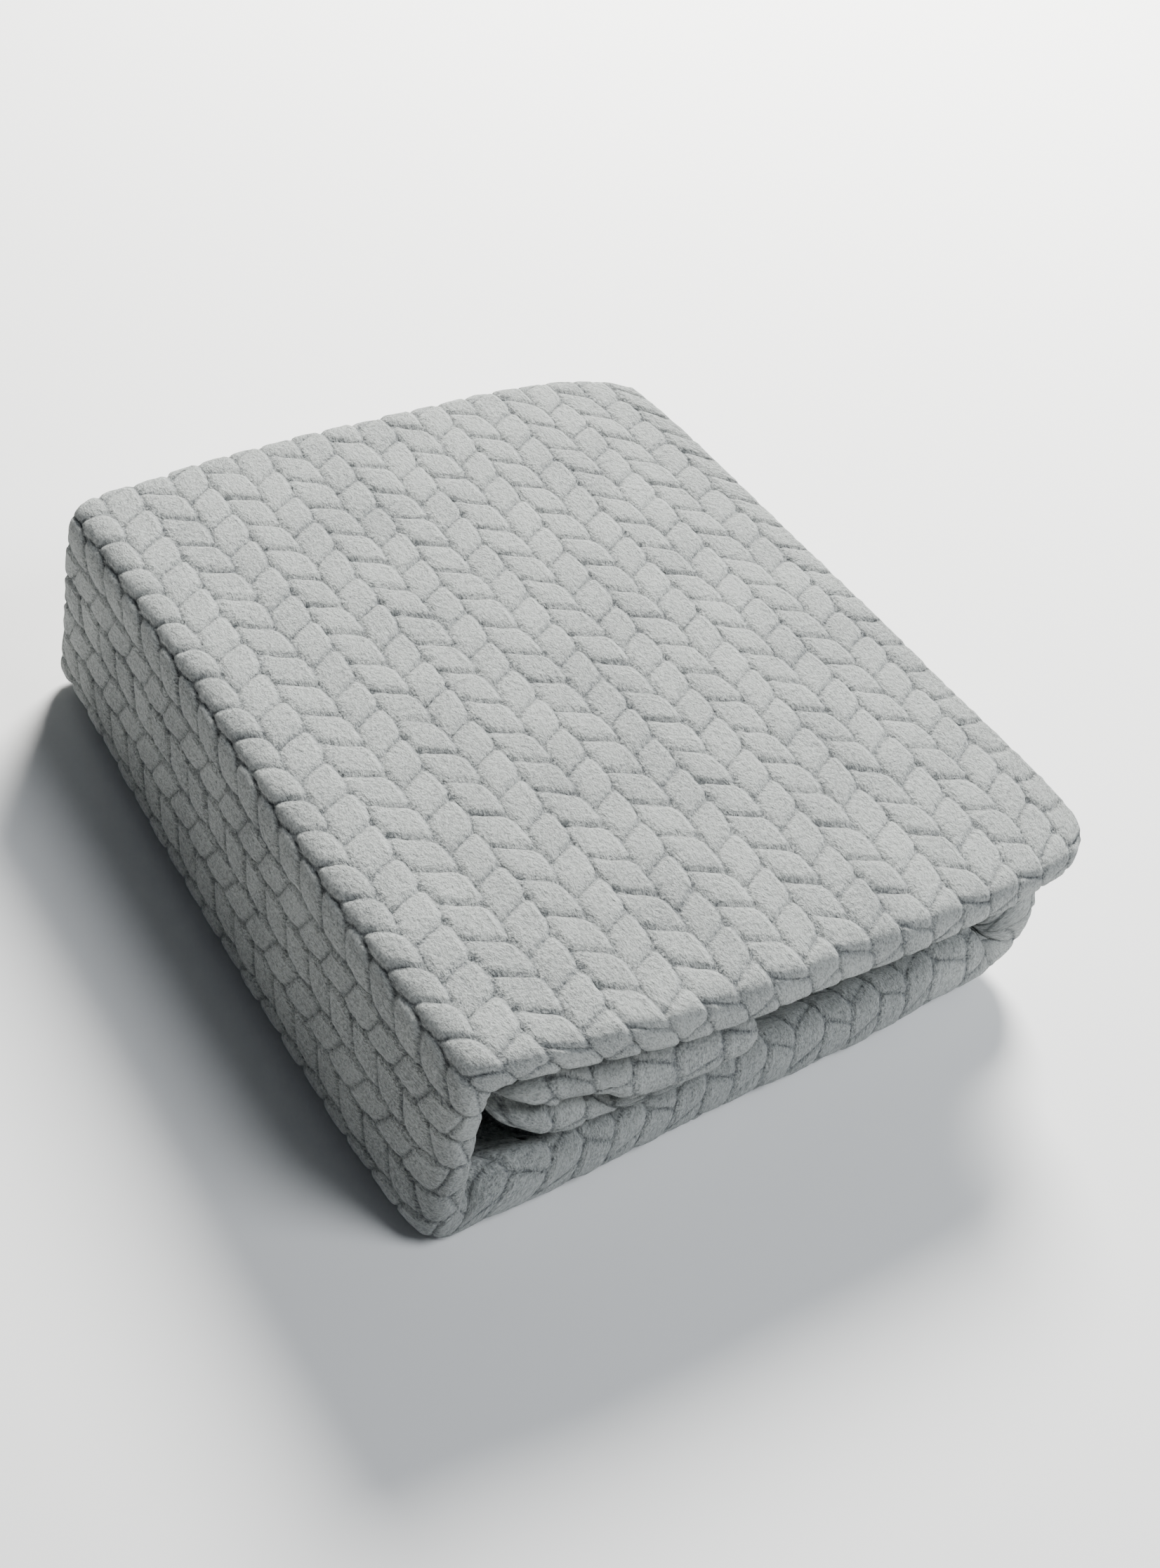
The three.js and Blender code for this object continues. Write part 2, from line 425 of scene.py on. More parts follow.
# the shift across the cloth that carries a straight row along the leaning grooves
def zigzag(along):
    column = np.floor(along / braid["column"] + 1e-6)
    a = along / braid["column"] - column
    odd = np.mod(column, 2)
    lean = braid["lean"] * braid["pitch"]
    return np.where(odd < 0.5, -lean * a, -lean * (1 - a))


# depth below the tops of the blocks, in metres
def reliefAt(along, across):
    width, pitch, lean, corner = braid["column"], braid["pitch"], braid["lean"], braid["corner"]
    nearest = np.floor(along / width + 0.5)
    weight = 1 - 2 * np.abs(along / width - nearest)
    phase = np.where(np.mod(nearest + 1, 2) < 0.5, lean, 0.5)
    c = np.mod(across / pitch + phase, 1)
    moved = along - 4 * c * (1 - c) * weight * braid["bulge"]
    column = np.floor(moved / width + 1e-6)
    a = np.clip(moved / width - column, 0, 1)
    shift = np.where(np.mod(column, 2) < 0.5, -lean * a, 0.5 - lean * (1 - a))
    b = across / pitch - shift
    row = np.floor(b + 1e-6)
    b = b - row
    fromSide = np.minimum(a, 1 - a) * width
    fromEnd = np.minimum(b, 1 - b) * pitch * braid["slant"]
    shortSide, shortEnd = np.maximum(corner - fromSide, 0), np.maximum(corner - fromEnd, 0)
    cut = np.hypot(shortSide, shortEnd)
    inside = np.minimum(fromSide, fromEnd) + np.maximum(shortSide, shortEnd) - cut
    t = np.clip(inside / braid["edge"], 0, 1)
    crown = (1 - (2 * a - 1) ** 2) * (1 - (2 * b - 1) ** 2)
    tall = 0.88 + 0.12 * np.sin(12.9 * column + 78.2 * row + 3 * np.sin(5.1 * column))
    height = (0.80 * np.sqrt(1 - (1 - t) ** 2) + 0.20 * crown) * tall
    pit = 0.25 * np.clip(-inside / (0.41 * corner), 0, 1)
    ridge = np.exp(-(((1 - a) * width - 3 * mm) / (1.0 * mm)) ** 2) * np.clip(fromEnd / (4 * mm), 0, 1)
    return braid["relief"] * (1 - height + pit) - braid["ridge"] * ridge


# full on the faces and rolls, faint where leaves are pressed together, none on a turned hem
def reliefShare(across):
    pressed = braid["pressedRelief"]
    flat = smooth(marks["tuck"][0], marks["tuck"][1], across)
    flat = flat * (1 - smooth(marks["leaf3"][1] - 90 * mm, marks["leaf3"][1] - 60 * mm, across))
    rolled = smooth(marks["frontRoll"][0] - 6 * mm, marks["frontRoll"][0] + 8 * mm, across)
    return 0.9 - 0.2 * rolled * (1 - flat) - (0.9 - pressed) * flat


# One piece of cloth

def rowsBetween(start, end, step):
    count = max(1, round((end - start) / step))
    return list(np.linspace(start, end, count, endpoint=False))


def columnsBetween(start, end, cells):
    step = braid["column"] / cells
    count = max(1, round((end - start) / step))
    return list(start + (end - start) * np.arange(count + 1) / count)


def gridObject(name, columns, rows):
    bm = bmesh.new()
    bmesh.ops.create_grid(bm, x_segments=columns - 1, y_segments=rows - 1, size=1.0)
    bmesh.ops.reverse_faces(bm, faces=bm.faces)
    mesh = bpy.data.meshes.new(name)
    bm.to_mesh(mesh)
    bm.free()
    obj = bpy.data.objects.new(name, mesh)
    bpy.context.scene.collection.objects.link(obj)
    return obj


def gridIndices(mesh, columns, rows):
    flat = np.empty(len(mesh.vertices) * 3)
    mesh.vertices.foreach_get("co", flat)
    flat = flat.reshape(-1, 3)
    i = np.rint((flat[:, 0] + 1) / 2 * (columns - 1)).astype(int)
    j = np.rint((flat[:, 1] + 1) / 2 * (rows - 1)).astype(int)
    return i, j


def normalsOf(points):
    alongStrip = np.gradient(points, axis=0)
    acrossCloth = np.gradient(points, axis=1)
    normal = np.cross(acrossCloth, alongStrip)
    length = np.linalg.norm(normal, axis=2, keepdims=True)
    return normal / np.maximum(length, 1e-12)


# a grid of cloth from start to end along the strip, wrapped through the section
def clothPiece(name, half, start, end, cells, rows, hemmed, look):
    stretches = upperStretches if half == "upper" else lowerStretches
    fitOf = upperFit if half == "upper" else lowerFit
    settle = upperSettle if half == "upper" else lowerSettle
    columns = columnsBetween(start, end, cells)
    reach, lift = [0.0] * len(columns), [0.0] * len(columns)
    if hemmed:  # the strip's free end is turned under and stitched
        for k in range(1, 9):
            angle = math.pi * k / 8
            columns.append(end + k * 1.3 * mm)
            reach.append(hemRadius * math.sin(angle))
            lift.append(hemRadius * (1 - math.cos(angle)))
        for k in range(1, 4):
            columns.append(end + 8 * 1.3 * mm + k * 6 * mm)
            reach.append(-k * 6 * mm)
            lift.append(leaf)
    along = np.array(columns)[:, None]
    held = np.minimum(along, end)
    reach, lift = np.array(reach)[:, None], np.array(lift)[:, None]
    rows = np.array(sorted(set(rows)))[None, :]
    signed = along if half == "upper" else -along
    zig = zigzag(signed + patternStart[0])
    fade = smooth(marks["leaf4"][0], marks["leaf4"][0] + 60 * mm, rows)
    fade = fade * (1 - smooth(marks["leaf2"][0], marks["leaf2"][0] + 60 * mm, rows))
    across = rows + zig * fade
    held, across = np.broadcast_arrays(held, across)
    fit = {key: np.broadcast_to(value, across.shape) for key, value in fitOf(held).items()}
    y, depth = sectionPoint(across, fit)
    outer, within = stripPath(held, stretches)
    share = depth / strip
    x = outer[0] + (within[0] - outer[0]) * share
    z = outer[1] + (within[1] - outer[1]) * share
    x, y, z = settle(x, y, z, held)
    points = np.stack([x, y, z], axis=2)
    flip = 1.0 if half == "upper" else -1.0
    if hemmed:
        normal = normalsOf(points[: len(columns) - 11])[-1:] * flip
        points = points - normal * lift[:, :, None]
        points[:, :, 0] += reach * np.ones(points.shape[1])
    normal = normalsOf(points) * flip
    share = reliefShare(across)
    if hemmed:
        share = share * (1 - 0.8 * smooth(end - 3 * mm, end + 2 * mm, along))
        share = share + 0.35 * np.exp(-((along - (end - 15 * mm)) / (1.2 * mm)) ** 2)
    shared = np.broadcast_to(signed, across.shape) + patternStart[0]
    shifted = across + patternStart[1]
    shared = shared + braid["wobble"] * wander(across, signed, 9 * mm, 1.7)
    shifted = shifted + braid["wobble"] * wander(signed + 3 * across, across, 13 * mm, 0.3)
    atCrest = np.exp(-((np.abs(signed) - 56 * mm) / (14 * mm)) ** 2)
    sunk = reliefAt(shared, shifted) * share * (1 - 0.15 * atCrest)
    tufts = 0.5 + 0.5 * wander(shared, across, 1.9 * mm, 0.7) * wander(across, shared, 3.1 * mm, 1.9)
    points = points - normal * (sunk + folding["tuft"] * tufts)[:, :, None]
    obj = gridObject(name, points.shape[0], points.shape[1])
    i, j = gridIndices(obj.data, points.shape[0], points.shape[1])
    placed = points[i, j] + np.array([originX, originY, 0.0])
    obj.data.vertices.foreach_set("co", placed.ravel())
    if half == "lower":
        obj.data.flip_normals()
    layer = obj.data.uv_layers.new(name="cloth")
    loops = np.empty(len(obj.data.loops), dtype=np.int32)
    obj.data.loops.foreach_get("vertex_index", loops)
    uv = np.stack([shared[i, j][loops], shifted[i, j][loops]], axis=1)
    layer.data.foreach_set("uv", uv.astype(np.float32).ravel())
    obj.data.polygons.foreach_set("use_smooth", [True] * len(obj.data.polygons))
    obj.data.update()
    obj.data.materials.append(look)
    flat = (float(end - start) + (folding["endLap"] if hemmed else 0), float(rows.max() - rows.min()))
    print("cloth", name, points.shape[:2], "cells")
    return obj, flat


# Materials

def addNode(tree, kind, place, **values):
    node = tree.nodes.new(kind)
    node.location = place
    for key, value in values.items():
        setattr(node, key, value)
    return node


def mathNode(tree, operation, first, second=None, place=(0, 0), clamp=False):
    node = addNode(tree, "ShaderNodeMath", place, operation=operation, use_clamp=clamp)
    for slot, value in enumerate((first, second)):
        if value is None:
            continue
        if isinstance(value, (int, float)):
            node.inputs[slot].default_value = value
        else:
            tree.links.new(value, node.inputs[slot])
    return node.outputs[0]


# cloth coordinates in metres to the braid's block height, a groove mask for painted shade, a ridge mask
# for the bump and a painted highlight, and a tone for each block
def makeBraidGroup():
    tree = bpy.data.node_groups.new("braidBlocks", "ShaderNodeTree")
    face = tree.interface
    face.new_socket(name="Cloth", in_out="INPUT", socket_type="NodeSocketVector")
    for name, value in (("Column", braid["column"]), ("Pitch", braid["pitch"]), ("Lean", braid["lean"]),
                        ("Bulge", braid["bulge"]), ("Corner", braid["corner"]), ("Edge", braid["edge"]),
                        ("Groove", braid["grooveWidth"])):
        face.new_socket(name=name, in_out="INPUT", socket_type="NodeSocketFloat").default_value = value
    for name in ("Height", "Groove", "Ridge", "Tone"):
        face.new_socket(name=name, in_out="OUTPUT", socket_type="NodeSocketFloat")
    source = addNode(tree, "NodeGroupInput", (-2600, 0))
    target = addNode(tree, "NodeGroupOutput", (1600, 0))
    split = addNode(tree, "ShaderNodeSeparateXYZ", (-2400, 0))
    tree.links.new(source.outputs["Cloth"], split.inputs[0])
    m = lambda op, a, b=None, place=(0, 0), clamp=False: mathNode(tree, op, a, b, place, clamp)
    # each block swells over the column to its right
    across = m("DIVIDE", split.outputs[1], source.outputs["Pitch"], (-2200, -200))
    raw = m("DIVIDE", split.outputs[0], source.outputs["Column"], (-2200, 200))
    nearest = m("FLOOR", m("ADD", raw, 0.5, (-2050, 300)), None, (-1900, 300))
    away = m("ABSOLUTE", m("SUBTRACT", raw, nearest, (-1900, 150)), None, (-1750, 150))
    weight = m("SUBTRACT", 1.0, m("MULTIPLY", away, 2.0, (-1600, 150)), (-1450, 150))
    leftOdd = m("MODULO", m("ADD", nearest, 1.0, (-1750, 450)), 2.0, (-1600, 450))
    spread = m("MULTIPLY", leftOdd, m("SUBTRACT", 0.5, source.outputs["Lean"], (-1750, 0)), (-1450, 0))
    phase = m("ADD", spread, source.outputs["Lean"], (-1300, 0))
    c = m("FRACT", m("ADD", across, phase, (-1150, 0)), None, (-1000, 0))
    hump = m("MULTIPLY", c, m("SUBTRACT", 1.0, c, (-850, 50)), (-700, 50))
    hump = m("MULTIPLY", hump, 4.0, (-550, 50))
    swell = m("MULTIPLY", m("MULTIPLY", hump, weight, (-400, 100)), source.outputs["Bulge"], (-250, 100))
    moved = m("SUBTRACT", split.outputs[0], swell, (-100, 200))
    position = m("DIVIDE", moved, source.outputs["Column"], (0, 200))
    column = m("FLOOR", position, None, (100, 300))
    a = m("FRACT", position, None, (100, 150))
    odd = m("MODULO", column, 2.0, (200, 300))
    fall = m("MULTIPLY", a, source.outputs["Lean"], (200, 100))
    evenShift = m("MULTIPLY", fall, -1.0, (300, 100))
    oddShift = m("ADD", m("SUBTRACT", 0.5, source.outputs["Lean"], (200, -50)), fall, (300, -50))
    chosen = m("MULTIPLY", m("SUBTRACT", oddShift, evenShift, (400, 0)), odd, (500, 100))
    place = m("SUBTRACT", across, m("ADD", evenShift, chosen, (600, 100)), (700, 0))
    row = m("FLOOR", place, None, (800, 100))
    b = m("FRACT", place, None, (800, -50))

    def edgeDistance(value, scale, y):
        least = m("MINIMUM", value, m("SUBTRACT", 1.0, value, (900, y)), (950, y))
        return m("MULTIPLY", least, scale, (1000, y))

    fromSide = edgeDistance(a, source.outputs["Column"], 300)
    slant = m("MULTIPLY", source.outputs["Pitch"], braid["slant"], (900, -250))
    fromEnd = edgeDistance(b, slant, -100)

    def shortOf(distance, y):
        return m("MAXIMUM", m("SUBTRACT", source.outputs["Corner"], distance, (1050, y)), 0.0, (1100, y))

    shortSide, shortEnd = shortOf(fromSide, 300), shortOf(fromEnd, -100)
    squares = m("ADD", m("MULTIPLY", shortSide, shortSide, (1150, 300)),
                m("MULTIPLY", shortEnd, shortEnd, (1150, -100)), (1200, 100))
    longest = m("MAXIMUM", shortSide, shortEnd, (1200, 200))
    cut = m("SUBTRACT", m("SQRT", squares, None, (1200, 0)), longest, (1250, 100))
    inside = m("SUBTRACT", m("MINIMUM", fromSide, fromEnd, (1250, 200)), cut, (1300, 100))
    t = m("DIVIDE", inside, source.outputs["Edge"], (1350, 200), True)
    gone = m("SUBTRACT", 1.0, t, (1400, 200))
    height = m("SUBTRACT", 1.0, m("MULTIPLY", gone, gone, (1450, 200)), (1500, 200))
    height = m("SQRT", height, None, (1550, 200))

    def bump(distance, middle, width, y):
        scaled = m("DIVIDE", m("SUBTRACT", distance, middle, (1300, y)), width, (1350, y))
        squared = m("MULTIPLY", scaled, scaled, (1400, y))
        return m("EXPONENT", m("MULTIPLY", squared, -1.0, (1450, y)), None, (1500, y))

    # the groove mask, used only to paint shade into the colour of the grooves
    grooveShade = bump(m("MAXIMUM", inside, 0.0, (1250, 0)), 0.0, source.outputs["Groove"], 0)
    fromRight = m("SUBTRACT", 1.0, a, (1050, -300))
    fromRight = m("MULTIPLY", fromRight, source.outputs["Column"], (1100, -300))
    ends = m("DIVIDE", fromEnd, 4 * mm, (1300, -400), True)
    # the ridge mask near each block's right edge, used for the bump and for a painted highlight in the
    # colour
    ridge = m("MULTIPLY", bump(fromRight, 3 * mm, 0.7 * mm, -300), ends, (1550, -300))
    address = addNode(tree, "ShaderNodeCombineXYZ", (900, -500))
    tree.links.new(column, address.inputs[0])
    tree.links.new(row, address.inputs[1])
    chance = addNode(tree, "ShaderNodeTexWhiteNoise", (1050, -500), noise_dimensions="3D")
    tree.links.new(address.outputs[0], chance.inputs["Vector"])
    for name, value in (("Height", height), ("Groove", grooveShade), ("Ridge", ridge),
                        ("Tone", chance.outputs["Value"])):
        tree.links.new(value, target.inputs[name])
    return tree


# cloth coordinates in metres to short fibres, tufts and the drifts where the pile is brushed
def makePileGroup():
    tree = bpy.data.node_groups.new("brushedPile", "ShaderNodeTree")
    face = tree.interface
    face.new_socket(name="Cloth", in_out="INPUT", socket_type="NodeSocketVector")
    for name, value in (("Fibre", 0.85 * mm), ("Tuft", 2.4 * mm), ("Drift", 42 * mm)):
        face.new_socket(name=name, in_out="INPUT", socket_type="NodeSocketFloat").default_value = value
    for name in ("Fibres", "Tufts", "Drifts"):
        face.new_socket(name=name, in_out="OUTPUT", socket_type="NodeSocketFloat")
    source = addNode(tree, "NodeGroupInput", (-900, 0))
    target = addNode(tree, "NodeGroupOutput", (500, 0))
    layers = (("Fibres", "Fibre", 4.0, 0.75, (1.0, 0.55, 1.0), 300),
              ("Tufts", "Tuft", 2.0, 0.6, (1.0, 0.8, 1.0), 0),
              ("Drifts", "Drift", 2.0, 0.5, (1.0, 1.0, 1.0), -300))
    for out, size, detail, roughness, stretch, y in layers:
        frequency = mathNode(tree, "DIVIDE", 1.0, source.outputs[size], (-700, y))
        scaled = addNode(tree, "ShaderNodeVectorMath", (-500, y), operation="SCALE")
        tree.links.new(source.outputs["Cloth"], scaled.inputs[0])
        tree.links.new(frequency, scaled.inputs["Scale"])
        brushed = addNode(tree, "ShaderNodeVectorMath", (-350, y), operation="MULTIPLY")
        brushed.inputs[1].default_value = stretch
        tree.links.new(scaled.outputs[0], brushed.inputs[0])
        noise = addNode(tree, "ShaderNodeTexNoise", (-150, y), noise_dimensions="2D")
        noise.inputs["Scale"].default_value = 1.0
        noise.inputs["Detail"].default_value = detail
        noise.inputs["Roughness"].default_value = roughness
        tree.links.new(brushed.outputs[0], noise.inputs["Vector"])
        tree.links.new(noise.outputs["Fac"], target.inputs[out])
    return tree


fleeceLook = {
    "light": (0.635, 0.66, 0.637),
    "deep": (0.14, 0.15, 0.158),
    "sheen": 0.30,
    "sheenTint": (0.86, 0.91, 0.94, 1),
    "roughness": 0.92,
    "base": 0.25,  # how far the colour stands from light towards deep before anything is added
    # painted shade: how far the colour in the grooves is darkened towards deep
    "grooveShade": 0.38,
    # painted highlight: how far the colour is lightened along each block's ridge
    "ridge": 0.12,
    "tone": 0.07,
    "fibres": 2.0,
    "tufts": 0.85,
    "drifts": 0.50,
}


def makeFleece(name, braidGroup, pileGroup):
    look = bpy.data.materials.new(name)
    look.use_nodes = True
    tree = look.node_tree
    shader = tree.nodes["Principled BSDF"]
    shader.inputs["Specular IOR Level"].default_value = 0.12
    shader.inputs["Sheen Weight"].default_value = fleeceLook["sheen"]
    shader.inputs["Sheen Roughness"].default_value = 0.45
    shader.inputs["Sheen Tint"].default_value = fleeceLook["sheenTint"]
    cloth = addNode(tree, "ShaderNodeUVMap", (-1500, 0), uv_map="cloth")
    blocks = addNode(tree, "ShaderNodeGroup", (-1250, 200), node_tree=braidGroup)
    pile = addNode(tree, "ShaderNodeGroup", (-1250, -200), node_tree=pileGroup)
    tree.links.new(cloth.outputs[0], blocks.inputs["Cloth"])
    tree.links.new(cloth.outputs[0], pile.inputs["Cloth"])
    m = lambda op, a, b=None, place=(0, 0), clamp=False: mathNode(tree, op, a, b, place, clamp)

    def centred(output, middle, share, y):
        return m("MULTIPLY", m("SUBTRACT", middle, output, (-1100, y)), share, (-1000, y))

    # how dark the colour is: painted shade in the grooves, a painted highlight along each block's ridge,
    # a random tone for each block, and the speckle of fibres, tufts and brushed drifts
    parts = [
        # painted shade: darkens the colour in the grooves
        m("MULTIPLY", blocks.outputs["Groove"], fleeceLook["grooveShade"], (-1000, 300)),
        # painted highlight: lightens the colour along each block's ridge
        m("MULTIPLY", blocks.outputs["Ridge"], -fleeceLook["ridge"], (-1000, 200)),
        centred(blocks.outputs["Tone"], 0.5, fleeceLook["tone"], 100),
        centred(pile.outputs["Fibres"], 0.5, fleeceLook["fibres"], -100),
        centred(pile.outputs["Tufts"], 0.5, fleeceLook["tufts"], -250),
        centred(pile.outputs["Drifts"], 0.5, fleeceLook["drifts"], -400),
    ]
    total = fleeceLook["base"]
    for part in parts:
        total = m("ADD", part, total, (-800, 0))
    shade = m("MINIMUM", m("MAXIMUM", total, 0.0, (-700, 0)), 1.0, (-600, 0))
    colour = addNode(tree, "ShaderNodeMix", (-400, 200), data_type="RGBA")
    colour.inputs["A"].default_value = (*fleeceLook["light"], 1)
    colour.inputs["B"].default_value = (*fleeceLook["deep"], 1)
    tree.links.new(shade, colour.inputs["Factor"])
    tree.links.new(colour.outputs["Result"], shader.inputs["Base Color"])
    rough = addNode(tree, "ShaderNodeMapRange", (-400, -50))
    rough.inputs["To Min"].default_value = fleeceLook["roughness"] - 0.08
    rough.inputs["To Max"].default_value = 1.0
    tree.links.new(pile.outputs["Tufts"], rough.inputs["Value"])
    tree.links.new(rough.outputs["Result"], shader.inputs["Roughness"])
    pressed = addNode(tree, "ShaderNodeBump", (-400, -300))
    pressed.inputs["Strength"].default_value = 0.9
    pressed.inputs["Distance"].default_value = 1.1 * mm
    raised = m("MULTIPLY", blocks.outputs["Ridge"], 0.35, (-700, -250))
    raised = m("ADD", blocks.outputs["Height"], raised, (-550, -250))
    tree.links.new(raised, pressed.inputs["Height"])
    fuzz = m("ADD", m("MULTIPLY", pile.outputs["Fibres"], 0.8, (-700, -500)),
             m("MULTIPLY", pile.outputs["Tufts"], 1.2, (-700, -650)), (-550, -550))
    nap = addNode(tree, "ShaderNodeBump", (-200, -400))
    nap.inputs["Strength"].default_value = 1.0
    nap.inputs["Distance"].default_value = 1.9 * mm
    tree.links.new(fuzz, nap.inputs["Height"])
    tree.links.new(pressed.outputs[0], nap.inputs["Normal"])
    tree.links.new(nap.outputs[0], shader.inputs["Normal"])
    return look


def makeSatin():
    look = bpy.data.materials.new("labelSatin")
    look.use_nodes = True
    tree = look.node_tree
    shader = tree.nodes["Principled BSDF"]
    shader.inputs["Roughness"].default_value = 0.42
    place = addNode(tree, "ShaderNodeTexCoord", (-900, 0))
    weave = addNode(tree, "ShaderNodeTexWave", (-700, 0), bands_direction="Y")
    weave.inputs["Scale"].default_value = 900.0
    weave.inputs["Distortion"].default_value = 0.6
    tree.links.new(place.outputs["Object"], weave.inputs["Vector"])
    colour = addNode(tree, "ShaderNodeMix", (-400, 100), data_type="RGBA")
    colour.inputs["A"].default_value = (0.78, 0.77, 0.73, 1)
    colour.inputs["B"].default_value = (0.88, 0.87, 0.84, 1)
    tree.links.new(weave.outputs["Fac"], colour.inputs["Factor"])
    tree.links.new(colour.outputs["Result"], shader.inputs["Base Color"])
    bump = addNode(tree, "ShaderNodeBump", (-300, -200))
    bump.inputs["Strength"].default_value = 0.3
    bump.inputs["Distance"].default_value = 0.1 * mm
    tree.links.new(weave.outputs["Fac"], bump.inputs["Height"])
    tree.links.new(bump.outputs[0], shader.inputs["Normal"])
    return look


braidGroup, pileGroup = makeBraidGroup(), makePileGroup()
fleece = makeFleece("braidedFleece", braidGroup, pileGroup)
print("materials made")

# The pieces of cloth

fine, coarse = 12, 6
rowFine = braid["pitch"] / 14
rowCoarse = braid["pitch"] / 7
seamAtBack = round(-0.4 * backFold / rowFine) * rowFine  # low on the back fold, where two pieces meet
tuckEnd = marks["tuck"][1]


# leaf 1 with both its rolls, and leaf 2 coarsely
def foldRows(step, frontOnly=None):
    rollStart = marks["frontRoll"][0]
    if frontOnly is None:
        count = round((marks["tuck"][0] + 6 * mm - seamAtBack) / step)
        rows = [seamAtBack + k * step for k in range(count + 1)]
    else:
        rows = [seamAtBack + k * step for k in range(12)]
        rows += rowsBetween(rows[-1] + step, rollStart - frontOnly, 4 * rowFine)
        count = round((marks["tuck"][0] + 6 * mm - rollStart + frontOnly) / step)
        rows += [rollStart - frontOnly + k * step for k in range(count + 1)]
    rows += rowsBetween(rows[-1] + step, tuckEnd, 5 * mm)
    rows += rowsBetween(tuckEnd, marks["leaf2"][1], 20 * mm) + [marks["leaf2"][1]]
    return rows


# hem 4, leaf 4 and the lower part of the back fold
def outerRows(step):
    start, end = marks["hemReturn4"][0], marks["leaf4"][0]
    rows = rowsBetween(start, marks["hem4"][0], 6 * mm)
    rows += rowsBetween(marks["hem4"][0], end, 1.3 * mm)
    rows += rowsBetween(end, seamAtBack, step) + [seamAtBack]
    return rows


# the inner back fold, leaf 3 and its hem
def innerRows(step):
    rows = rowsBetween(marks["leaf2"][1], marks["leaf3"][0], 1 * mm)
    rows += rowsBetween(marks["leaf3"][0], marks["hem3"][0], step)
    rows += rowsBetween(marks["hem3"][0], marks["hemReturn3"][0], 1.3 * mm)
    rows += rowsBetween(*marks["hemReturn3"], 6 * mm) + [marks["hemReturn3"][1]]
    return rows


upperEnd = stretchStart(upperStretches, "end") - hemRadius
lowerEnd = stretchStart(lowerStretches, "end") - hemRadius
heelEnd = 5 * braid["column"]
underEnd = stretchStart(lowerStretches, "base") + 110 * mm
turnEnd = stretchStart(lowerStretches, "flap")
# each piece of cloth: its half of the strip, start, end, kinds, bodies and the CAD lengths it stands for
cloths = {
    "cover": ("upper", 0.0, upperEnd, ("fold", "outer", "inner"), ("spine", "cover"), ("cover",)),
    "heel": ("lower", 0.0, heelEnd, ("fold",), ("spine", "base"), ("spine",)),
    "base": ("lower", heelEnd, turnEnd, ("fold",), ("base", "flap"), ("base", "right_turn", "return")),
    "under": ("lower", 0.0, underEnd, ("outer", "inner"), ("spine", "base"), ("spine", "base")),
    "return": ("lower", underEnd, turnEnd, ("outer", "inner"), ("base", "flap"),
               ("right_turn", "return")),
    "flap": ("lower", turnEnd, lowerEnd, ("fold", "outer", "inner"), ("flap",), ("flap",)),
}


# the CAD nodes of these lengths of the strip that one piece of cloth stands for
def nodesOf(names, kind):
    wanted = {"fold": ("_front_fold",), "outer": ("_outer_leaf", "_outer_hem"),
              "inner": ("_inner_leaf", "_inner_hem")}
    found = []
    for name in names:
        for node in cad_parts:
            plain = node.replace("_hem_", "_", 1) if node.startswith(name + "_hem_") else node
            if any(plain == name + ending for ending in wanted[kind]):
                found.append(node)
    return found


def rowsFor(name, kind):
    if kind == "fold":
        return foldRows(rowFine, 50 * mm if name == "base" else None)
    return outerRows(rowCoarse) if kind == "outer" else innerRows(14 * mm)


clothCount = 0
for name, (half, start, end, kinds, bodies, lengths) in cloths.items():
    hemmed = name in ("cover", "flap")
    for kind in kinds:
        cells = fine if kind == "fold" else coarse
        piece, flat = clothPiece(name + kind.capitalize() + "Cloth", half, start, end, cells,
                                 rowsFor(name, kind), hemmed, fleece)
        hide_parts(*nodesOf(lengths, kind))
        if len(bodies) == 2:
            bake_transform(piece)
        else:
            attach(piece, bodies[0])
        clothCount += 1
print("cloth made:", clothCount, "pieces")


# The care label, sewn into the flap's end hem

label = {
    "length": 30 * mm,
    "width": 42 * mm,
    "thickness": 0.35 * mm,
    "droop": 5 * mm,
    "ripple": 0.6 * mm,
}


def makeLabel():
    low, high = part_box("care_label")
    bm = bmesh.new()
    bmesh.ops.create_grid(bm, x_segments=16, y_segments=12, size=0.5)
    for vert in bm.verts:
        u = vert.co.x + 0.5
        vert.co.y *= label["width"]
        vert.co.y += (low.y + high.y) / 2
        vert.co.x = low.x - 4 * mm + u * label["length"]
        ripple = label["ripple"] * math.sin(9 * vert.co.y / label["width"])
        vert.co.z = (low.z + high.z) / 2 - label["droop"] * u ** 2 + ripple
    bmesh.ops.recalc_face_normals(bm, faces=bm.faces)
    mesh = bpy.data.meshes.new("careLabelCloth")
    bm.to_mesh(mesh)
    bm.free()
    obj = bpy.data.objects.new("careLabelCloth", mesh)
    bpy.context.scene.collection.objects.link(obj)
    skin = obj.modifiers.new("thickness", "SOLIDIFY")
    skin.thickness = label["thickness"]
    obj.data.polygons.foreach_set("use_smooth", [True] * len(obj.data.polygons))
    obj.data.materials.append(makeSatin())
    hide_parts("care_label")
    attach(obj, "flap")
    return obj


makeLabel()
print("label made")


# Floor, light and camera

studio = {
    "floor": 6.0,
    "camera": (-0.5680, -0.6827, 0.8503),
    "heading": -40.74,
    "tilt": 42.33,
    "roll": 12.87,
    "lens": 53.83,
}


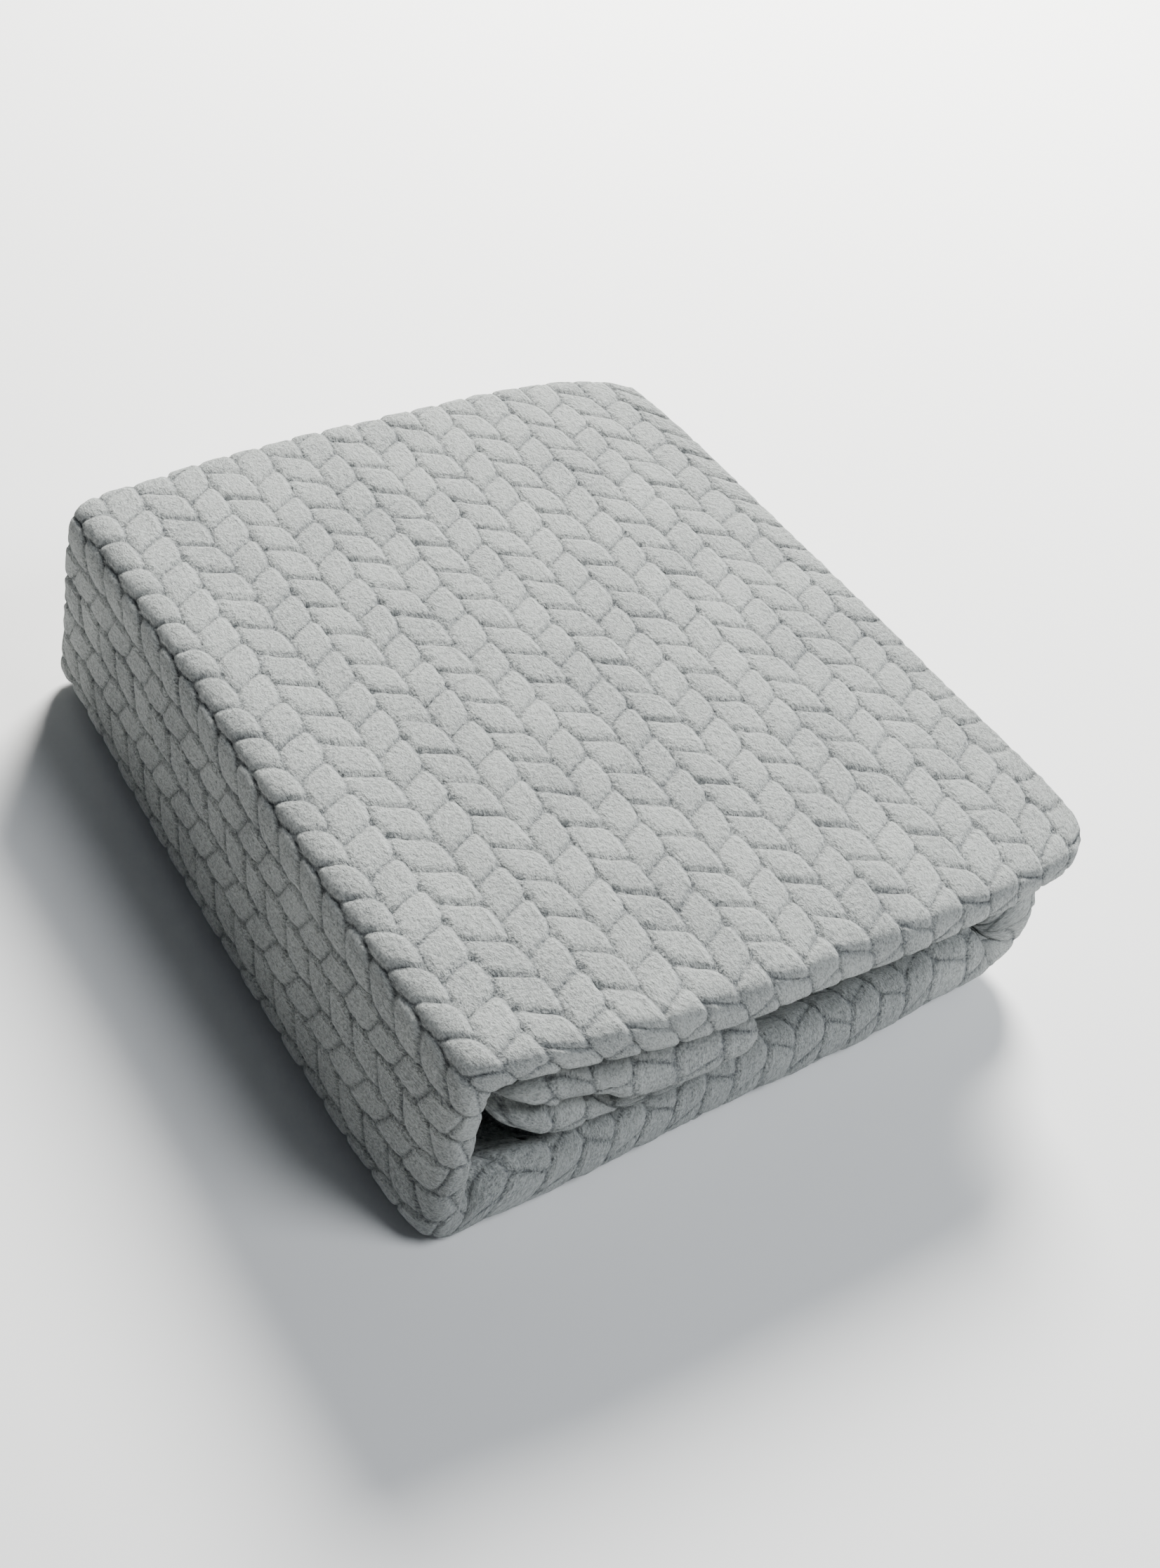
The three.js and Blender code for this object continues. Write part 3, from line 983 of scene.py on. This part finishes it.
def makeFloor():
    bm = bmesh.new()
    bmesh.ops.create_grid(bm, x_segments=1, y_segments=1, size=studio["floor"])
    bmesh.ops.translate(bm, verts=bm.verts, vec=(0, 0, -0.5 * mm))
    mesh = bpy.data.meshes.new("floor")
    bm.to_mesh(mesh)
    bm.free()
    floor = bpy.data.objects.new("floor", mesh)
    bpy.context.scene.collection.objects.link(floor)
    look = bpy.data.materials.new("paleFloor")
    look.use_nodes = True
    look.node_tree.nodes["Principled BSDF"].inputs["Base Color"].default_value = (0.95, 0.95, 0.95, 1)
    look.node_tree.nodes["Principled BSDF"].inputs["Roughness"].default_value = 0.8
    mesh.materials.append(look)


def addLamp(name, place, target, size, power, colour):
    data = bpy.data.lights.new(name, "AREA")
    data.shape = "DISK"
    data.size = size
    data.energy = power
    data.color = colour
    lamp = bpy.data.objects.new(name, data)
    lamp.location = place
    direction = Vector(target) - Vector(place)
    lamp.rotation_euler = direction.to_track_quat("-Z", "Y").to_euler()
    bpy.context.scene.collection.objects.link(lamp)


def makeLight():
    world = bpy.data.worlds.new("studio")
    world.use_nodes = True
    world.node_tree.nodes["Background"].inputs["Color"].default_value = (0.80, 0.88, 1.0, 1)
    world.node_tree.nodes["Background"].inputs["Strength"].default_value = 0.07
    bpy.context.scene.world = world
    addLamp("key", (1.25, 1.45, 1.5), (0, 0, 0.05), 0.9, 218, (1.0, 0.99, 0.95))
    addLamp("front", (0.9, -1.4, 2.1), (0, 0, 0.05), 1.2, 52, (0.92, 0.96, 1.0))


def makeCamera():
    heading, tilt, roll = (math.radians(studio[key]) for key in ("heading", "tilt", "roll"))
    level = math.cos(tilt)
    forward = Vector((-math.sin(heading) * level, math.cos(heading) * level, -math.sin(tilt)))
    right = forward.cross(Vector((0, 0, 1))).normalized()
    up = right.cross(forward)
    turnedRight = right * math.cos(roll) + up * math.sin(roll)
    turnedUp = up * math.cos(roll) - right * math.sin(roll)
    data = bpy.data.cameras.new("camera")
    data.lens = studio["lens"]
    camera = bpy.data.objects.new("camera", data)
    turn = Matrix((turnedRight, turnedUp, -forward)).transposed().to_4x4()
    camera.matrix_world = Matrix.Translation(Vector(studio["camera"])) @ turn
    bpy.context.scene.collection.objects.link(camera)
    bpy.context.scene.camera = camera


makeFloor()
makeLight()
makeCamera()
print("studio made")
